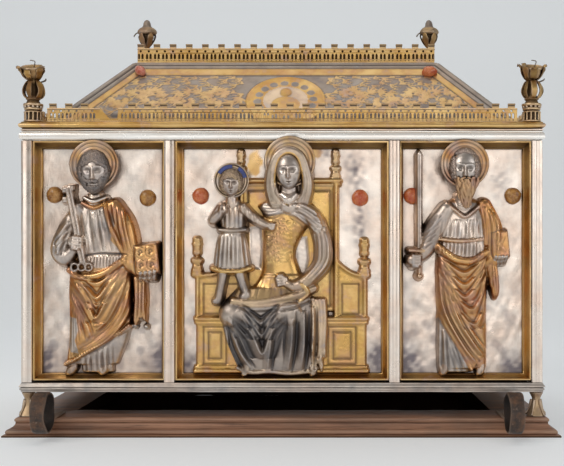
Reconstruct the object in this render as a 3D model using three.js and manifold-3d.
// A house-shaped reliquary casket: silver walls with gilt frames and applied relief figures, a hipped lid with
// pierced galleries and leafy pinnacles, on a moulded board with iron loops for carrying poles.
// Millimetres, +Z up, +X to the viewer's right, the relief front faces -Y. The origin is under the board's middle.
import * as THREE from "three";
import { mergeVertices } from "three/addons/utils/BufferGeometryUtils.js";
import Module from "manifold-3d";

const wasm = await Module();
wasm.setup();

// Driving dimensions

const GAP = 0.3; // left between pieces that touch
const COARSE = 1; // facets of joined shapes are no finer than this
const HALF_WIDTH = 261; // casket, outside of the corner posts
const HALF_DEPTH = 150;

const BOARD = { lip: 3, spread: 12, thick: 18 };
const FOOT = { height: 24.2, inset: 14, sides: 6 };
const FLOOR_Z = BOARD.thick + FOOT.height + 2 * GAP; // underside of the casket
const LOOP = { x: 226.5, z: 28, outer: 20, wall: 3, width: 14, reach: 21, sides: 9, tangLength: 62, turn: 2 };

const BASE_RAIL = { height: 9.4, proud: 2 };
const WALL_BOTTOM = 54.5;
const WALL_TOP = 294.5;
const CORNICE = { bottom: 294.8, top: 304, proud: 2 };
const POST = { wide: 11, deep: 14 };
const MULLION = { x: 112.7, width: 10.7 };
const PLATE = { recess: 13, thick: 2 };
const FRAME = { bevel: 7.5, narrow: 3.7, back: 0.3, low: 1.8, high: 11.5, flat: 2.2 };
const BOSS = { radius: 8.5, height: 6.5, z: 239.8, sides: 8 };

const LEDGE = { bottom: 304.3, top: 313.5, proud: 2.5 };
const ROOF = { inset: 20.5, run: 75, bottom: LEDGE.top + GAP, rise: 76.5, wall: 3, rib: 6 };
const DECK_Z = ROOF.bottom + ROOF.rise;
const MERLON = { width: 7, height: 4.6 };
const LOWER_GALLERY = { height: 13.8, thick: 2, inset: 4, pitch: 15.88, margin: 5.7, endGap: 25 };
const UPPER_GALLERY = { height: 16.4, thick: 2, inset: 2.5, pitch: 17.7, margin: 3.5, endGap: 0 };
const LOSS = { from: -182, to: -164.6, low: 3, slant: 8.7 }; // a length of the front gallery is broken away
const TURRET = { radius: 9.8, inset: 9.5, height: 13.6 };
const ROOF_BOSS = { x: 154, drop: 9, radius: 7, sides: 12 };
const RIDGE_FINIAL = { height: 38.4 };

// Relief figures: heights are above the sill, and x runs from the panel's own middle axis.
const SILL_Z = 62;
const SAINT_X = { left: -186, right: 183.6 };
const MOTHER_X = 8.2;
const THRONE_THICK = 4;

// Materials

const paint = (color, roughness, metalness) => new THREE.MeshStandardMaterial({ color, roughness, metalness });
const SILVER = paint(0xcfc4b6, 0.32, 1);
const GILT = paint(0xb8893f, 0.34, 1);
const WORN_GILT = paint(0xa98a5a, 0.4, 1);
const IRON = paint(0x4a3a31, 0.75, 0.6);
const WOOD = paint(0x8a5c40, 0.7, 0);
const AMBER = paint(0xb06a2a, 0.25, 0);
const CARNELIAN = paint(0xcf5536, 0.25, 0);

const casket = new THREE.Group();

function piece(parent, name, geometry, material) {
  const mesh = new THREE.Mesh(geometry, material);
  mesh.name = name;
  parent.add(mesh);
  return mesh;
}

// Solid helpers

const v3 = (x, y, z) => new THREE.Vector3(x, y, z);

function solidOf(geometry) {
  const bare = geometry.clone();
  bare.deleteAttribute("normal");
  bare.deleteAttribute("uv");
  const merged = mergeVertices(bare, 1e-3);
  const triVerts = new Uint32Array(merged.index.array);
  const vertProperties = merged.attributes.position.array;
  return new wasm.Manifold(new wasm.Mesh({ numProp: 3, vertProperties, triVerts }));
}

function geometryOf(solid) {
  const mesh = solid.getMesh();
  const geometry = new THREE.BufferGeometry();
  geometry.setAttribute("position", new THREE.BufferAttribute(mesh.vertProperties, 3));
  geometry.setIndex(new THREE.BufferAttribute(mesh.triVerts, 1));
  return geometry;
}

// Joins shapes into one body, fills any pocket that is closed in between them and drops crumbs and
// facets finer than COARSE.
function fuse(...shapes) {
  const joined = shapes.map(solidOf).reduce((a, b) => a.add(b));
  const skins = joined.decompose().filter((body) => body.volume() > 1);
  return geometryOf(skins.reduce((a, b) => a.add(b)).simplify(COARSE));
}

const cut = (body, ...tools) => geometryOf(tools.map(solidOf).reduce((a, b) => a.subtract(b), solidOf(body)));

// A closed skin over rings of points, joined in turn and capped at both ends, with its faces turned outward.
function skin(rings) {
  const count = rings[0].length;
  const points = rings.flat();
  const faces = [];
  for (let r = 0; r + 1 < rings.length; r++) {
    for (let i = 0; i < count; i++) {
      const a = r * count + i;
      const b = r * count + ((i + 1) % count);
      faces.push(a, b, b + count, a, b + count, a + count);
    }
  }
  for (const [r, flip] of [[0, true], [rings.length - 1, false]]) {
    const centre = rings[r].reduce((sum, p) => sum.add(p), v3(0, 0, 0)).divideScalar(count);
    points.push(centre);
    const hub = points.length - 1;
    for (let i = 0; i < count; i++) {
      const a = r * count + i;
      const b = r * count + ((i + 1) % count);
      faces.push(hub, flip ? b : a, flip ? a : b);
    }
  }
  let volume = 0;
  for (let f = 0; f < faces.length; f += 3) {
    const [p, q, s] = [points[faces[f]], points[faces[f + 1]], points[faces[f + 2]]];
    volume += p.dot(q.clone().cross(s));
  }
  if (volume < 0) faces.reverse();
  return new THREE.BufferGeometry().setFromPoints(points).setIndex(faces);
}

// A round limb through points [x, y, z, radius].
function limb(points, sides = 6) {
  const centres = points.map(([x, y, z]) => v3(x, y, z));
  const rings = points.map(([, , , radius], k) => {
    const along = centres[Math.min(k + 1, centres.length - 1)].clone().sub(centres[Math.max(k - 1, 0)]).normalize();
    const across = v3(along.y, -along.x, 0).normalize();
    const up = across.clone().cross(along);
    const ring = [];
    for (let i = 0; i < sides; i++) {
      const t = (2 * Math.PI * i) / sides;
      ring.push(
        centres[k].clone().addScaledVector(across, radius * Math.cos(t)).addScaledVector(up, radius * Math.sin(t)),
      );
    }
    return ring;
  });
  return skin(rings);
}

function box(x0, x1, y0, y1, z0, z1) {
  const made = new THREE.BoxGeometry(x1 - x0, y1 - y0, z1 - z0);
  return made.translate((x0 + x1) / 2, (y0 + y1) / 2, (z0 + z1) / 2);
}

function lathe(profile, sides) {
  const points = profile.map(([r, z]) => new THREE.Vector2(r, z));
  return new THREE.LatheGeometry(points, sides).rotateX(Math.PI / 2);
}

// Rectangles stacked along Z: each step of the profile is [outward offset, height].
function stack(halfX, halfY, profile) {
  return skin(
    profile.map(([out, z]) =>
      [[1, 1], [-1, 1], [-1, -1], [1, -1]].map(
        ([sx, sy]) => v3(sx * (halfX + out), sy * (halfY + out), z),
      ),
    ),
  );
}

// A moulding mitred round a rectangle in XY. The closed profile is [share of the face width inward, height],
// and widths gives the face width on the left, right, bottom and top.
function mitred(x0, x1, y0, y1, profile, widths) {
  const corners = [[0, 2], [1, 2], [1, 3], [0, 3]];
  const points = [];
  const faces = [];
  const n = profile.length;
  for (const [side, end] of corners) {
    for (const [share, height] of profile) {
      const x = side === 0 ? x0 + share * widths[0] : x1 - share * widths[1];
      const y = end === 2 ? y0 + share * widths[2] : y1 - share * widths[3];
      points.push(v3(x, y, height));
    }
  }
  for (let c = 0; c < 4; c++) {
    for (let i = 0; i < n; i++) {
      const j = (i + 1) % n;
      const d = (c + 1) % 4;
      faces.push(c * n + i, d * n + i, d * n + j, c * n + i, d * n + j, c * n + j);
    }
  }
  const made = new THREE.BufferGeometry().setFromPoints(points).setIndex(faces);
  if (solidOf(made).volume() < 0) made.setIndex(faces.reverse());
  return made;
}

const mitredEven = (halfX, halfY, profile) => mitred(-halfX, halfX, -halfY, halfY, profile, [1, 1, 1, 1]);

// A wall's own space: x along the wall, y up and z outward from the middle of the casket.
function wallSpace(turn) {
  const group = new THREE.Group();
  group.rotation.set(Math.PI / 2, 0, turn, "ZXY");
  casket.add(group);
  return group;
}

// The board, its carrying loops and the feet

function baseBoard() {
  const s = BOARD.spread;
  const t = BOARD.thick;
  const moulding = [
    [s, 0], [s, 0.28 * t], [s - 1.6, 0.32 * t], [s - 2, 0.4 * t], [s - 3.2, 0.46 * t], [s - 5.4, 0.53 * t],
    [s - 7.6, 0.68 * t], [s - 8, 0.76 * t], [s - 10.4, 0.82 * t], [s - 11, 0.93 * t], [0, t],
  ];
  return stack(HALF_WIDTH + BOARD.lip, HALF_DEPTH + BOARD.lip, moulding);
}

// A strap of iron closed into an upright loop, with a tang that lies on the board under the casket.
function carryingLoop() {
  const ring = new THREE.Shape();
  ring.absarc(0, 0, LOOP.outer, 0, 2 * Math.PI);
  const hole = new THREE.Path();
  hole.absarc(0, 0, LOOP.outer - LOOP.wall, 0, 2 * Math.PI);
  ring.holes.push(hole);
  const options = { depth: LOOP.width, bevelEnabled: false, curveSegments: LOOP.sides };
  const strap = new THREE.ExtrudeGeometry(ring, options);
  strap.translate(0, 0, -LOOP.width / 2).rotateY(Math.PI / 2);
  strap.rotateZ(THREE.MathUtils.degToRad(LOOP.turn));
  const tangZ = BOARD.thick + GAP - LOOP.z;
  const start = LOOP.outer - LOOP.wall + 1;
  const tang = box(-LOOP.width / 2, LOOP.width / 2, start, LOOP.tangLength, tangZ, tangZ + LOOP.wall);
  return fuse(strap, tang);
}

function foot() {
  const h = FOOT.height;
  const bell = [[0, 0], [8.4, 0], [8.6, 0.07 * h], [5.4, 0.32 * h], [3.6, 0.78 * h], [5, 0.9 * h], [5, h], [0, h]];
  const toe = limb([[4, 0, 4.4, 3.4], [12, 0, 2.6, 2]], 4);
  const claws = [-0.6, 0.6].map((turn) => toe.clone().rotateZ(turn));
  return fuse(lathe(bell, FOOT.sides), ...claws);
}

piece(casket, "base_board", baseBoard(), WOOD);
for (const [end, sy] of [["front", -1], ["back", 1]]) {
  for (const [side, sx] of [["left", -1], ["right", 1]]) {
    const loop = piece(casket, `carrying_loop_${end}_${side}`, carryingLoop(), IRON);
    loop.position.set(sx * LOOP.x, sy * (HALF_DEPTH + BOARD.lip + BOARD.spread + LOOP.reach), LOOP.z);
    loop.rotation.z = sy < 0 ? 0 : Math.PI;
    const leg = piece(casket, `foot_${end}_${side}`, foot(), WORN_GILT);
    leg.position.set(sx * (HALF_WIDTH - FOOT.inset), sy * (HALF_DEPTH - FOOT.inset), BOARD.thick + GAP);
    leg.rotation.z = Math.atan2(sy, sx);
  }
}

// The casket's floor, rails, posts and walls

const floorX = HALF_WIDTH - POST.deep + 2 - GAP;
const floorY = HALF_DEPTH - POST.deep + 2 - GAP;
piece(casket, "floor_plate", box(-floorX, floorX, -floorY, floorY, FLOOR_Z + 1.5, FLOOR_Z + 4.5), SILVER);

function baseRail() {
  const b = BASE_RAIL;
  const top = FLOOR_Z + b.height;
  const inner = POST.deep + b.proud;
  const profile = [
    [0.8, FLOOR_Z], [0, FLOOR_Z + 1], [0, FLOOR_Z + 3.2], [0.9, FLOOR_Z + 4.2], [0.5, top - 2.4], [1.8, top],
    [inner, top], [inner, FLOOR_Z + 4.8], [inner - 2, FLOOR_Z + 4.8], [inner - 2, FLOOR_Z],
  ];
  return mitredEven(HALF_WIDTH + b.proud, HALF_DEPTH + b.proud, profile);
}

function cornice() {
  const { bottom, top, proud } = CORNICE;
  const mid = (bottom + top) / 2;
  const inner = POST.deep + proud;
  const profile = [
    [3.2, bottom], [2.6, bottom + 1.8], [0.8, bottom + 2.6], [0, mid + 0.4], [0.5, top - 1.6], [2.2, top],
    [inner, top], [inner, bottom],
  ];
  return mitredEven(HALF_WIDTH + proud, HALF_DEPTH + proud, profile);
}

piece(casket, "base_rail", baseRail(), SILVER);
piece(casket, "cornice", cornice(), SILVER);

const POST_BOTTOM = FLOOR_Z + BASE_RAIL.height + GAP;
for (const [end, sy] of [["front", -1], ["back", 1]]) {
  for (const [side, sx] of [["left", -1], ["right", 1]]) {
    const outline = new THREE.Shape();
    outline.moveTo(0, 0).lineTo(POST.wide, 0).lineTo(POST.wide, POST.deep - 1).lineTo(POST.wide - 1, POST.deep);
    outline.lineTo(1, POST.deep).lineTo(0, POST.deep - 1).closePath();
    const depth = WALL_TOP - POST_BOTTOM;
    const post = new THREE.ExtrudeGeometry(outline, { depth, bevelEnabled: false });
    post.translate(-POST.wide / 2, -POST.deep / 2, POST_BOTTOM);
    const mesh = piece(casket, `corner_post_${end}_${side}`, post, SILVER);
    mesh.position.set(sx * (HALF_WIDTH - POST.wide / 2), sy * (HALF_DEPTH - POST.deep / 2), 0);
    mesh.rotation.z = sy < 0 ? Math.PI : 0;
  }
}

const walls = {
  front: { space: wallSpace(0), half: HALF_WIDTH, out: HALF_DEPTH },
  right: { space: wallSpace(Math.PI / 2), half: HALF_DEPTH, out: HALF_WIDTH },
  back: { space: wallSpace(Math.PI), half: HALF_WIDTH, out: HALF_DEPTH },
  left: { space: wallSpace(-Math.PI / 2), half: HALF_DEPTH, out: HALF_WIDTH },
};

function addPlate(wall, name, x0, x1) {
  const front = wall.out - PLATE.recess;
  const plate = box(x0, x1, POST_BOTTOM, WALL_TOP, front - PLATE.thick, front);
  piece(wall.space, name, plate, SILVER);
}

// A gilt frame, sloping down from its outer edge to the plate.
function addFrame(wall, name, x0, x1, leftWidth, rightWidth) {
  const base = wall.out - PLATE.recess;
  const profile = [
    [0, base + FRAME.back], [0, base + FRAME.high], [FRAME.flat / FRAME.bevel, base + FRAME.high],
    [0.42, base + FRAME.high - 3.2], [0.55, base + FRAME.high - 2.8], [1, base + FRAME.low], [1, base + FRAME.back],
  ];
  const widths = [leftWidth, rightWidth, FRAME.bevel - 1, FRAME.bevel];
  piece(wall.space, name, mitred(x0, x1, WALL_BOTTOM, WALL_TOP, profile, widths), GILT);
}

function addMullion(wall, name, x) {
  const w = MULLION.width / 2;
  const base = wall.out - PLATE.recess + GAP;
  const outline = [
    [-w, base], [w, base], [w, wall.out - 2], [0.5 * w, wall.out], [-0.5 * w, wall.out], [-w, wall.out - 2],
  ];
  const ends = [POST_BOTTOM, WALL_TOP].map((y) => outline.map(([across, z]) => v3(x + across, y, z)));
  piece(wall.space, name, skin(ends), SILVER);
}

const postEdge = HALF_WIDTH - POST.wide - GAP;
const mullionOuter = MULLION.x + MULLION.width / 2 + GAP;
const mullionInner = MULLION.x - MULLION.width / 2 - GAP;
const seam = GAP / 2;

addPlate(walls.front, "front_plate_left", -postEdge, -MULLION.x - seam);
addPlate(walls.front, "front_plate_centre", -MULLION.x + seam, MULLION.x - seam);
addPlate(walls.front, "front_plate_right", MULLION.x + seam, postEdge);
addFrame(walls.front, "front_frame_left", -postEdge, -mullionOuter, FRAME.bevel, FRAME.narrow);
addFrame(walls.front, "front_frame_centre", -mullionInner, mullionInner, FRAME.bevel, FRAME.bevel);
addFrame(walls.front, "front_frame_right", mullionOuter, postEdge, FRAME.narrow, FRAME.bevel);
addMullion(walls.front, "mullion_left", -MULLION.x);
addMullion(walls.front, "mullion_right", MULLION.x);
addPlate(walls.back, "back_plate", -postEdge, postEdge);
addFrame(walls.back, "back_frame", -postEdge, postEdge, FRAME.bevel, FRAME.bevel);
const sideEdge = HALF_DEPTH - PLATE.recess - PLATE.thick - GAP;
for (const side of ["left", "right"]) {
  addPlate(walls[side], `${side}_plate`, -sideEdge, sideEdge);
  addFrame(walls[side], `${side}_frame`, -sideEdge, sideEdge, FRAME.bevel, FRAME.bevel);
}

// Cabochons on the front plates

function boss() {
  const { radius: r, height: h, sides } = BOSS;
  return lathe([[0, 0], [r, 0], [r, 0.35 * h], [0.7 * r, 0.85 * h], [0, h]], sides);
}

const bosses = [
  ["boss_left_outer", -230.5, 1, AMBER], ["boss_left_inner", -136.5, -2, AMBER],
  ["boss_centre_left", -82.8, 0, CARNELIAN], ["boss_centre_right", 78.5, -2, CARNELIAN],
  ["boss_right_inner", 131, 0, CARNELIAN], ["boss_right_outer", 233, 0, AMBER],
];
for (const [name, x, rise, material] of bosses) {
  const stone = piece(walls.front.space, name, boss(), material);
  stone.position.set(x, BOSS.z + rise, HALF_DEPTH - PLATE.recess + GAP);
}

// Relief figures, in the front wall's space with the plate's face at z = 0

const relief = new THREE.Group();
relief.position.z = HALF_DEPTH - PLATE.recess;
walls.front.space.add(relief);

// Values of a station list [height, left, right, out] at a height between its stations.
function stationAt(stations, y) {
  let i = 0;
  while (i + 2 < stations.length && stations[i + 1][0] < y) i++;
  const [a, b] = [stations[i], stations[i + 1]];
  const t = THREE.MathUtils.clamp((y - a[0]) / (b[0] - a[0]), 0, 1);
  return a.map((value, k) => value + t * (b[k] - value));
}

// Points along a fold of cloth that hangs from one point to another, its middle bowed by sag.
function foldLine([x0, y0], [x1, y1], sag) {
  const bow = sag * (Math.abs(x1 - x0) > Math.abs(y1 - y0) ? -1 : 0);
  const points = [];
  for (let k = 0; k <= FOLD.steps; k++) {
    const t = k / FOLD.steps;
    const arch = 4 * t * (1 - t);
    points.push([x0 + (x1 - x0) * t + (bow ? 0 : sag * arch), y0 + (y1 - y0) * t + bow * arch]);
  }
  return points;
}

// Height that the nearest fold adds at (x, y).
function foldHeight(folds, x, y) {
  let height = 0;
  for (const line of folds) {
    for (let k = 0; k + 1 < line.length; k++) {
      const [[ax, ay], [bx, by]] = [line[k], line[k + 1]];
      const [dx, dy] = [bx - ax, by - ay];
      const t = THREE.MathUtils.clamp(((x - ax) * dx + (y - ay) * dy) / (dx * dx + dy * dy), 0, 1);
      const away = Math.hypot(x - ax - t * dx, y - ay - t * dy) / FOLD.width;
      height = Math.max(height, FOLD.height * (1 - away));
    }
  }
  return height;
}

// A half-round body through its stations with raised folds on its front.
function drapedBody(stations, back, folds, sides, rows) {
  const low = stations[0][0];
  const high = stations[stations.length - 1][0];
  const rings = [];
  for (let r = 0; r <= rows; r++) {
    const y = low + ((high - low) * r) / rows;
    const [, left, right, out] = stationAt(stations, y);
    const ring = [];
    for (let i = 0; i <= sides; i++) {
      const across = (2 * i) / sides - 1;
      const x = (left + right) / 2 + ((right - left) / 2) * across;
      const round = Math.sqrt(1 - across * across);
      ring.push(v3(x, y, back + out * round + (round > 0 ? foldHeight(folds, x, y) : 0)));
    }
    rings.push(ring);
  }
  return skin(rings);
}

function oval(x, y, z, rx, ry, rz, wide = 6, high = 4) {
  return new THREE.SphereGeometry(1, wide, high).scale(rx, ry, rz).translate(x, y, z);
}

function halo(x, y, radius) {
  const disc = new THREE.CylinderGeometry(radius, radius, HALO.thick, HALO.sides);
  return disc.rotateX(Math.PI / 2).translate(x, y, HALO.z);
}

// A head of plain proportions: neck, skull, nose and, for an old man, a beard of the given length.
function head(x, y, rx, ry, beard) {
  const z = HALO.z + 0.5;
  const parts = [oval(x, y, z, rx, ry, 0.75 * rx, 7, 6)];
  parts.push(limb([[x, y - 1.6 * ry, z - 7, 0.65 * rx], [x, y - 0.5 * ry, z - 1, 0.55 * rx]], 5));
  parts.push(limb([[x, y + 0.2 * ry, z + 0.66 * rx, 1.2], [x, y - 0.16 * ry, z + 0.8 * rx, 2]], 4));
  if (beard) parts.push(oval(x, y - 0.72 * ry - beard / 3, z + 0.24 * rx, 0.72 * rx, beard, 0.56 * rx));
  return parts;
}

const BACK = 0.3; // a figure's flat back stands clear of the plate
const HALO = { z: 14.7, thick: 1.8, sides: 14 }; // halos stand in front of the frames
const FOLD = { width: 5, height: 4, steps: 6 };
const BODY_SIDES = 11;
const BODY_ROWS = 12;

const flatBacked = (back, ...parts) => cut(fuse(...parts), box(-150, 150, -20, 260, -30, back));

function leftSaint() {
  const robe = [
    [0, -31, 20, 7], [30, -29, 28, 10], [66, -25, 33, 12], [104, -24, 33, 13], [117, -20, 31, 12.5],
    [146, -23, 31, 14], [166, -27, 31, 12], [176, -12, 14, 8],
  ];
  const folds = [];
  for (let k = 0; k < 4; k++) folds.push(foldLine([-20, 104 - 13 * k], [30, 110 - 15 * k], 15 + 4 * k));
  for (let k = 0; k < 4; k++) folds.push(foldLine([-24 + 13 * k, 1], [-23 + 14 * k, 26 + 6 * k], 2));
  folds.push(foldLine([-16, 170], [14, 118], 6), foldLine([22, 168], [26, 120], 3));
  const parts = [drapedBody(robe, BACK, folds, BODY_SIDES, BODY_ROWS)];
  parts.push(limb([[-22, 165, 7, 8], [-34, 142, 8, 9], [-36, 121, 10, 8.5], [-12, 135, 16, 4]], 5));
  parts.push(limb([[26, 165, 8, 9], [34, 136, 9, 9], [38, 116, 10, 8], [48, 108, 9, 6]], 5));
  parts.push(limb([[-12, 128, 16, 2], [-25, 184, 10, 2]], 4), oval(-25, 182, 10, 5, 7, 3), oval(-8, 108, 12.5, 6, 5, 3));
  parts.push(box(40, 64.5, 100, 130, 5, 12));
  parts.push(limb([[46, 102, 7, 6], [47, 75, 6, 6.5], [45, 48, 4.5, 4]], 5));
  parts.push(oval(-22, 4, 8, 8, 4, 7), oval(11, 4, 8, 7, 4, 7));
  return flatBacked(BACK, ...parts, ...head(-3, 196, 15, 20, 11), halo(0.5, 209, 24.3));
}

function rightSaint() {
  const robe = [
    [0, -31, 22, 7], [28, -33, 22, 10], [62, -36, 25, 12], [102, -34, 22, 13], [126, -26, 20, 12.5],
    [146, -25, 24, 14], [168, -29, 30, 12], [180, -12, 13, 8],
  ];
  const folds = [];
  for (let k = 0; k < 4; k++) folds.push(foldLine([-29 + 4 * k, 112 - 13 * k], [19 - k, 86 - 20 * k], 12));
  for (let k = 0; k < 4; k++) folds.push(foldLine([-26 + 11 * k, 1], [-25 + 10 * k, 40 - 6 * k], 1));
  folds.push(foldLine([-18, 172], [-10, 128], 4), foldLine([18, 172], [14, 128], -4));
  const parts = [drapedBody(robe, BACK, folds, BODY_SIDES, BODY_ROWS)];
  parts.push(limb([[-26, 166, 7, 8], [-35, 145, 8, 8], [-47, 115, 12, 4.5]], 5));
  parts.push(limb([[25, 170, 8, 9], [31, 142, 9, 9], [36, 118, 10, 8], [31, 88, 8, 6.5], [26, 62, 6, 5]], 5));
  parts.push(box(-50, -43, 122, 221, 9, 12), box(-54, -39, 117, 123, 8, 14));
  parts.push(limb([[-46.5, 97, 11, 2.6], [-46.5, 120, 11, 1.8]], 4));
  parts.push(box(24.5, 43.5, 116, 142, 7, 14));
  parts.push(oval(-23, 4, 8, 6, 4, 7), oval(15, 4, 8, 8, 4, 7));
  return flatBacked(BACK, ...parts, ...head(0, 206, 14, 20, 18), halo(0, 210, 24));
}

// The seated mother with the child standing on her knee, made as one.
function motherAndChild() {
  const back = THRONE_THICK + 2 * GAP;
  const torso = [
    [66, -32, 30, 9], [84, -30, 18, 8], [108, -27, 10, 8], [132, -27, 14, 9], [154, -31, 25, 9],
    [167, -29, 27, 8], [178, -11, 13, 5],
  ];
  const skirt = [[0, -52, 24, 8], [26, -62, 28, 11], [54, -66, 30, 15], [68, -64, 32, 14], [78, -58, 32, 9]];
  const hung = [];
  for (let k = 0; k < 4; k++) hung.push(foldLine([-56 + 3 * k, 64 - 10 * k], [-4, 62 - 10 * k], 13 + 3 * k));
  for (let k = 0; k < 3; k++) hung.push(foldLine([8 + 8 * k, 2], [6 + 8 * k, 60], 2));
  const wrapped = [foldLine([-24, 170], [24, 166], 9), foldLine([-20, 160], [22, 150], 12)];
  const parts = [drapedBody(torso, back, wrapped, 8, 7), drapedBody(skirt, back, hung, 12, 7)];
  parts.push(oval(-54, 58, 13, 14, 15, 8), oval(-5, 60, 14, 15, 16, 9));
  parts.push(limb([[21, 160, 10, 9], [28, 130, 10, 9], [27, 98, 11, 9], [-5, 94, 15, 4.5]], 5));
  parts.push(limb([[26, 78, 10, 9], [27, 46, 9.6, 8], [25, 6, 8, 6]], 5));
  parts.push(oval(-40, 4, 12, 9, 4, 7), oval(2, 4, 12, 10, 4, 7), oval(0, 203, 13, 17, 24, 8, 8, 6));
  parts.push(...head(-1.5, 202, 13.5, 19, 0), halo(0, 210, 25));

  const tunic = [[100, -74, -38, 8], [124, -70, -42, 9], [136, -68, -45, 8], [160, -74, -43, 9], [174, -64, -52, 5]];
  const pleats = [-68, -60, -52, -45].map((x) => foldLine([x, 100], [x * 0.6 - 22, 134], 0));
  parts.push(drapedBody(tunic, back, pleats, 7, 5));
  parts.push(limb([[-64, 102, 10, 5], [-64, 76, 12, 4], [-60, 69, 14, 4]], 4));
  parts.push(limb([[-43, 102, 10, 5], [-41, 80, 11, 4], [-39, 71, 13, 4]], 4));
  parts.push(limb([[-70, 164, 9, 5], [-75, 146, 10.5, 5], [-64, 160, 13, 3.5]], 4));
  parts.push(limb([[-47, 164, 9, 5], [-38, 150, 10.5, 4.5], [-18, 147, 12, 4]], 4));
  return flatBacked(back, ...parts, ...head(-58, 188, 10.5, 13, 0), halo(-58, 190.5, 18));
}

// A turned knob on the throne's uprights.
function knob(x, y, height) {
  const profile = [[0, 0], [3.4, 0], [1.8, 0.14], [3.6, 0.45], [0, 1]];
  const turned = lathe(profile.map(([r, share]) => [r, share * height]), 6);
  return turned.rotateX(-Math.PI / 2).scale(1, 1, 0.7).translate(x, y, BACK + 2.2);
}

function throne() {
  const t = THRONE_THICK + BACK;
  const slab = (x0, x1, y0, y1) => box(x0, x1, y0, y1, BACK, t);
  const sunk = (x0, x1, y0, y1) => box(x0, x1, y0, y1, t - 1.3, t + 1);
  const scoop = (x, y) => new THREE.CylinderGeometry(26, 26, 20, 24).rotateX(Math.PI / 2).translate(x, y, 0);
  const frame = fuse(slab(-44, 47, 50, 195), slab(-94, 76, 48, 120), slab(-92, 73, 0, 54));
  const panels = [
    sunk(-38, 37, 70, 188), sunk(-87, -66, 7, 48), sunk(38, 67, 7, 48), sunk(-88, -50, 58, 94), sunk(50, 69, 58, 94),
  ];
  const carved = cut(frame, ...panels, scoop(-91, 124), scoop(73, 124));
  const knobs = [[45, 192, 28], [-42, 192, 28], [73, 96, 37], [-91, 96, 37]];
  const turned = knobs.map(([x, y, height]) => knob(x, y, height));
  return flatBacked(BACK, carved, ...turned);
}

for (const [name, make, x, material] of [
  ["saint_with_keys", leftSaint, SAINT_X.left, WORN_GILT],
  ["saint_with_sword", rightSaint, SAINT_X.right, WORN_GILT],
  ["mother_and_child", motherAndChild, MOTHER_X, WORN_GILT],
  ["throne", throne, MOTHER_X, GILT],
]) {
  const mesh = piece(relief, name, make(), material);
  mesh.position.set(x, SILL_Z, 0);
}

// The lid: ledge, hipped roof, galleries, pinnacles

function ledge() {
  const { bottom, top, proud } = LEDGE;
  const inner = proud + ROOF.inset + 7;
  const profile = [
    [4, bottom], [3.4, bottom + 2.2], [0.6, bottom + 3], [0, bottom + 5.6], [1.4, top], [inner, top], [inner, bottom],
  ];
  return mitredEven(HALF_WIDTH + proud, HALF_DEPTH + proud, profile);
}

function roof() {
  const { inset, run, bottom, wall, rib } = ROOF;
  const halfX = HALF_WIDTH - inset;
  const halfY = HALF_DEPTH - inset;
  const steep = wall * Math.SQRT2;
  const outer = stack(halfX, halfY, [[0, bottom], [-run, DECK_Z]]);
  const inner = stack(halfX - steep, halfY - steep, [[1, bottom - 1], [-run, DECK_Z - wall]]);
  const crown = stack(halfX - run, halfY - run, [[1.5, DECK_Z - rib], [2.4, DECK_Z - 0.3 * rib], [0, DECK_Z]]);
  const ribs = [[1, 1], [-1, 1], [-1, -1], [1, -1]].map(([sx, sy]) => {
    const ends = [[halfX - 1, halfY - 1, bottom], [halfX - run, halfY - run, DECK_Z - 1]];
    return skin(
      ends.map(([x, y, z]) => [
        v3(sx * (x + 2), sy * (y + 2), z), v3(sx * (x - rib), sy * y, z + 1.2), v3(sx * x, sy * (y - rib), z + 1.2),
      ]),
    );
  });
  return cut(fuse(outer, crown, ...ribs), inner, box(-300, 300, -200, 200, bottom - 20, bottom));
}

// A strip with battlements on top, spaced evenly from end to end.
function gallery(length, { height, thick, pitch, margin }) {
  const half = length / 2;
  const first = half - margin;
  const count = Math.round((2 * first) / pitch);
  const strip = new THREE.Shape();
  strip.moveTo(-half, 0).lineTo(half, 0);
  if (margin > MERLON.width / 2) strip.lineTo(half, height);
  for (let i = count; i >= 0; i--) {
    const x = first * ((2 * i) / count - 1);
    const w = MERLON.width / 2;
    if (i < count || margin > w) strip.lineTo(x + w, height);
    strip.lineTo(x + w, height + MERLON.height).lineTo(x - w, height + MERLON.height);
    if (i > 0 || margin > w) strip.lineTo(x - w, height);
  }
  if (margin > MERLON.width / 2) strip.lineTo(-half, height);
  strip.closePath();
  return new THREE.ExtrudeGeometry(strip, { depth: thick, bevelEnabled: false });
}

function addGallery(wall, name, shape, out, bottom, kind) {
  const mesh = piece(wall.space, name, shape, GILT);
  mesh.position.set(0, bottom + GAP, out - kind.thick);
}

function brokenGallery(shape) {
  const { from, to, low, slant } = LOSS;
  const top = LOWER_GALLERY.height + 2 * MERLON.height;
  const gone = new THREE.Shape();
  gone.moveTo(from, top).lineTo(from, LOWER_GALLERY.height).lineTo(from + slant, 2 * low).lineTo(from + slant, low);
  gone.lineTo(to, low).lineTo(to, top).closePath();
  const tool = new THREE.ExtrudeGeometry(gone, { depth: 2 * LOWER_GALLERY.thick, bevelEnabled: false });
  return cut(shape, tool.translate(0, 0, -LOWER_GALLERY.thick / 2));
}

piece(casket, "lid_ledge", ledge(), GILT);
piece(casket, "lid_roof", roof(), WORN_GILT);

const deckInset = ROOF.inset + ROOF.run + UPPER_GALLERY.inset;
for (const [side, wall] of Object.entries(walls)) {
  const whole = gallery(2 * (wall.half - LOWER_GALLERY.endGap), LOWER_GALLERY);
  const lower = side === "front" ? brokenGallery(whole) : whole;
  addGallery(wall, `lower_gallery_${side}`, lower, wall.out - LOWER_GALLERY.inset, LEDGE.top, LOWER_GALLERY);
  const mitre = wall.half === HALF_WIDTH ? 0 : UPPER_GALLERY.thick + GAP;
  const upper = gallery(2 * (wall.half - deckInset - mitre), UPPER_GALLERY);
  addGallery(wall, `upper_gallery_${side}`, upper, wall.out - deckInset, DECK_Z, UPPER_GALLERY);
}

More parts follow.
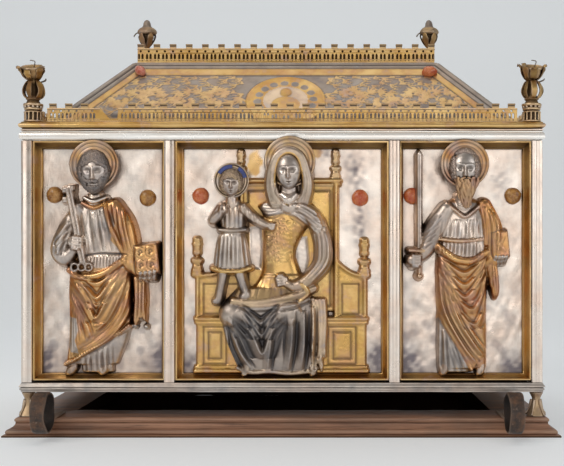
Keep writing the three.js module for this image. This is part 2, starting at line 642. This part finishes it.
// Leaves curling out from a stem: each is a bent blade, set round the stem at even turns.
function leaves(count, radius, z, rise, size, turn = 0) {
  const bend = [[0, 0, 0, 1], [0.6 * radius, 0, 0.7 * rise, size], [radius, 0, rise, 0.7]];
  const made = [];
  for (let k = 0; k < count; k++) {
    made.push(limb(bend, 3).translate(0, 0, z).rotateZ(turn + (2 * Math.PI * k) / count));
  }
  return made;
}

// A six-sided turret with a flower on a stem above it.
function cornerPinnacle() {
  const { radius: r, height: h } = TURRET;
  const profile = [
    [0, 0], [r, 0], [0.86 * r, 0.16 * h], [0.86 * r, 0.86 * h], [r, h], [r, h + 2.4], [0.55 * r, h + 4.5],
    [0.72 * r, h + 10], [0.28 * r, h + 13], [0.75 * r, h + 23], [0.24 * r, h + 33], [0.9 * r, h + 41], [1.1 * r, h + 46],
    [0, h + 49.5],
  ];
  return fuse(lathe(profile, 6), ...leaves(3, 12, h + 14, 10, 2.2, 0.4));
}

// A flower on a short stem, standing on the middle of an end gallery.
function ridgeFinial() {
  const h = RIDGE_FINIAL.height;
  const profile = [
    [0, 0], [2.6, 0], [2, 0.26 * h], [4.6, 0.32 * h], [9, 0.55 * h], [11, 0.72 * h], [7, 0.8 * h], [3, 0.93 * h], [0, h],
  ];
  return fuse(lathe(profile, 6), ...leaves(3, 12, 0.4 * h, 8, 2.2, 0.3));
}

for (const [end, sy] of [["front", -1], ["back", 1]]) {
  for (const [side, sx] of [["left", -1], ["right", 1]]) {
    const spire = piece(casket, `corner_pinnacle_${end}_${side}`, cornerPinnacle(), WORN_GILT);
    spire.position.set(sx * (HALF_WIDTH - TURRET.inset), sy * (HALF_DEPTH - TURRET.inset), LEDGE.top + GAP);
  }
}
const finialZ = DECK_Z + UPPER_GALLERY.height + MERLON.height + 2 * GAP;
for (const [side, sx] of [["left", -1], ["right", 1]]) {
  const finial = piece(casket, `ridge_finial_${side}`, ridgeFinial(), WORN_GILT);
  finial.position.set(sx * (HALF_WIDTH - deckInset - UPPER_GALLERY.thick / 2), 0, finialZ);
}

// Coral knobs at the upper corners of the front slope: a low dome of four lobes.
function roofBoss() {
  const { radius: r, sides } = ROOF_BOSS;
  const rings = [[1, 0], [1.05, 0.3], [0.8, 0.75], [0.35, 0.95]].map(([share, height]) => {
    const ring = [];
    for (let i = 0; i < sides; i++) {
      const t = (2 * Math.PI * i) / sides;
      const lobed = r * share * (1 + 0.12 * Math.cos(4 * t + Math.PI));
      ring.push(v3(lobed * Math.cos(t), lobed * Math.sin(t), height * r));
    }
    return ring;
  });
  return skin(rings);
}

const slope = Math.atan2(ROOF.rise, ROOF.run);
for (const [side, sx, material] of [["left", -1, CARNELIAN], ["right", 1, CARNELIAN]]) {
  const knobMesh = piece(casket, `roof_boss_${side}`, roofBoss(), material);
  const drop = ROOF_BOSS.drop + ROOF.rib;
  const y = ROOF.inset + ROOF.run - HALF_DEPTH - (drop * ROOF.run) / ROOF.rise;
  const outward = new THREE.Vector3(0, -Math.sin(slope), Math.cos(slope)).multiplyScalar(GAP);
  knobMesh.position.set(sx * ROOF_BOSS.x, y, DECK_Z - drop).add(outward);
  knobMesh.rotation.x = slope;
}

export default casket;
